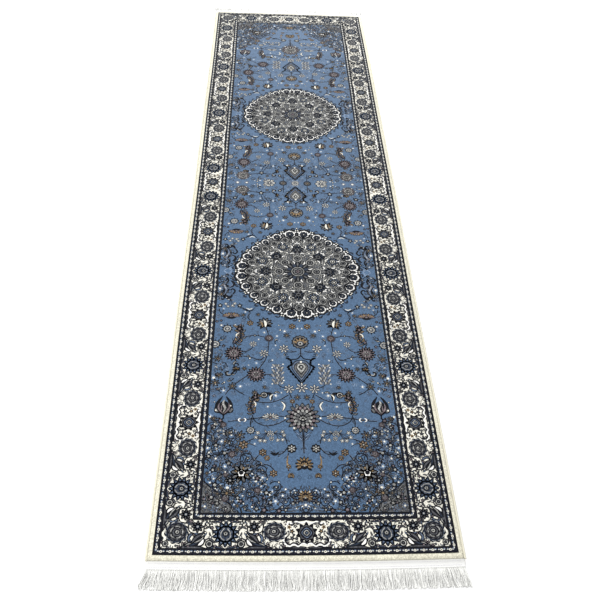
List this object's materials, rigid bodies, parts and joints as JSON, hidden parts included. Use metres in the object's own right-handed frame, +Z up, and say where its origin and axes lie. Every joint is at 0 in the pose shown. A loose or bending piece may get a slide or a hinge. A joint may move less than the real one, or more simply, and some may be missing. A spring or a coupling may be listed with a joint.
{
  "type": "runner rug",
  "caption": "Long narrow pile rug with a bordered floral design, overcast long edges and a sewn-on tape with a cotton fringe at each end.",
  "frame": {"origin": "middle of the rug's outline, on the floor it lies on", "axes": "+X across the rug, +Y along its length towards the far end, +Z up out of the pile"},
  "size_m": [0.8, 3.1402, 0.0107],
  "materials": {
    "ground": "matt plain weave",
    "margin_pile": "matt cut pile",
    "guard_pile": "matt cut pile",
    "border_pile": "matt cut pile",
    "field_pile": "matt cut pile",
    "medallion_pile": "matt cut pile",
    "edge_cord": "matt twisted cord",
    "overcast_yarn": "matt wrapped yarn",
    "fringe_cotton": "matt cotton",
    "seam_thread": "satin thread"
  },
  "bodies": {
    "root": {"ground_weave": "ground", "pile_margin_front": "margin_pile", "pile_margin_right": "margin_pile", "pile_margin_back": "margin_pile", "pile_margin_left": "margin_pile", "pile_outer_guard_front": "guard_pile", "pile_outer_guard_right": "guard_pile", "pile_outer_guard_back": "guard_pile", "pile_outer_guard_left": "guard_pile", "pile_main_border_front": "border_pile", "pile_main_border_right": "border_pile", "pile_main_border_back": "border_pile", "pile_main_border_left": "border_pile", "pile_inner_guard_front": "guard_pile", "pile_inner_guard_right": "guard_pile", "pile_inner_guard_back": "guard_pile", "pile_inner_guard_left": "guard_pile", "pile_field": "field_pile", "pile_medallion_front": "medallion_pile", "pile_medallion_back": "medallion_pile", "edge_cord_left": "edge_cord", "edge_overcast_left": "overcast_yarn", "edge_cord_right": "edge_cord", "edge_overcast_right": "overcast_yarn", "fringe_tape_front": "fringe_cotton", "tape_seam_inner_front": "seam_thread", "tape_seam_outer_front": "seam_thread", "fringe_front": "fringe_cotton", "fringe_tape_back": "fringe_cotton", "tape_seam_inner_back": "seam_thread", "tape_seam_outer_back": "seam_thread", "fringe_back": "fringe_cotton"}
  },
  "joints": []
}
